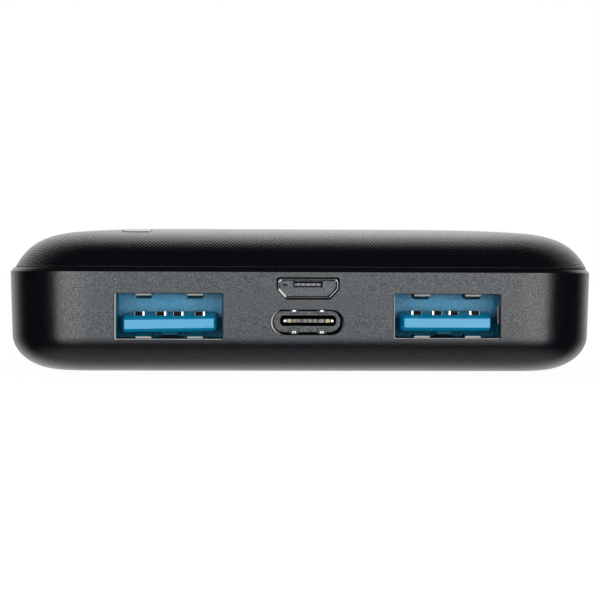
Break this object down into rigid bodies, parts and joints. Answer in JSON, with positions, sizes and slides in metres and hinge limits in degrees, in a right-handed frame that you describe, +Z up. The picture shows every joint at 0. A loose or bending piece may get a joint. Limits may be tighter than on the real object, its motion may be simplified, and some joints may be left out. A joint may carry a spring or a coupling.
{
  "type": "power bank",
  "caption": "Slab power bank: drafted lower case, domed textured cover, stacked pouch cells, and a port end with full-size, micro and reversible sockets beside a press button.",
  "frame": {"origin": "on the table, under the middle of the body", "axes": "+Z up, +Y along the body from the port end to the plain end, +X to the right when facing the ports"},
  "size_m": [0.074, 0.158, 0.0179],
  "materials": {
    "case_black": "fine-grained satin",
    "cover_black": "moulded diamond texture",
    "button_black": "gloss",
    "light_guide_clear": "clear",
    "switch_white": "satin",
    "chip_black": "matt",
    "led_white": "gloss",
    "board_green": "solder mask",
    "plated_steel": "bright nickel plate",
    "port_blue": "satin",
    "contact_gold": "gold plate",
    "socket_grey": "satin",
    "ferrite_grey": "matt",
    "capacitor_can": "satin",
    "pouch_foil": "satin foil",
    "film_tape": "film",
    "foam_grey": "foam",
    "nickel_strip": "bright",
    "fish_paper": "matt"
  },
  "bodies": {
    "case": {"board_screw_left": "plated_steel", "board_screw_right": "plated_steel", "capacitor_1": "capacitor_can", "capacitor_2": "capacitor_can", "cell_lower": "pouch_foil", "cell_tape": "film_tape", "cell_upper": "pouch_foil", "controller_chip": "chip_black", "inductor_1": "ferrite_grey", "inductor_2": "ferrite_grey", "insulating_card": "fish_paper", "led_1": "led_white", "led_2": "led_white", "led_3": "led_white", "led_4": "led_white", "light_guide": "light_guide_clear", "lower_case": "case_black", "lower_pad": "foam_grey", "lower_tab_minus": "nickel_strip", "lower_tab_plus": "nickel_strip", "main_board": "board_green", "oval_socket_shell": "plated_steel", "oval_socket_tongue": "socket_grey", "protection_chip": "chip_black", "small_socket_shell": "plated_steel", "small_socket_tongue": "socket_grey", "switch_body": "chip_black", "thermistor": "chip_black", "top_cover": "cover_black", "upper_pad": "foam_grey", "upper_tab_minus": "nickel_strip", "upper_tab_plus": "nickel_strip", "wide_socket_left_contact_1": "contact_gold", "wide_socket_left_contact_2": "contact_gold", "wide_socket_left_contact_3": "contact_gold", "wide_socket_left_contact_4": "contact_gold", "wide_socket_left_shell": "plated_steel", "wide_socket_left_tongue": "port_blue", "wide_socket_right_contact_1": "contact_gold", "wide_socket_right_contact_2": "contact_gold", "wide_socket_right_contact_3": "contact_gold", "wide_socket_right_contact_4": "contact_gold", "wide_socket_right_shell": "plated_steel", "wide_socket_right_tongue": "port_blue"},
    "button": {"button_cap": "button_black"},
    "plunger": {"switch_plunger": "switch_white"}
  },
  "joints": [
    {"name": "button_press", "type": "slide", "parent": "case", "child": "button", "axis": [0, 0, -1], "range_m": [0, 0.0003], "stiffness_N_per_m": 3000, "springref_m": -0.0002},
    {"name": "switch_press", "type": "slide", "parent": "case", "child": "plunger", "axis": [0, 0, -1], "range_m": [0, 0.0003]}
  ],
  "couplings": [
    {"joint": "switch_press", "follows": "button_press", "ratio": 1}
  ]
}
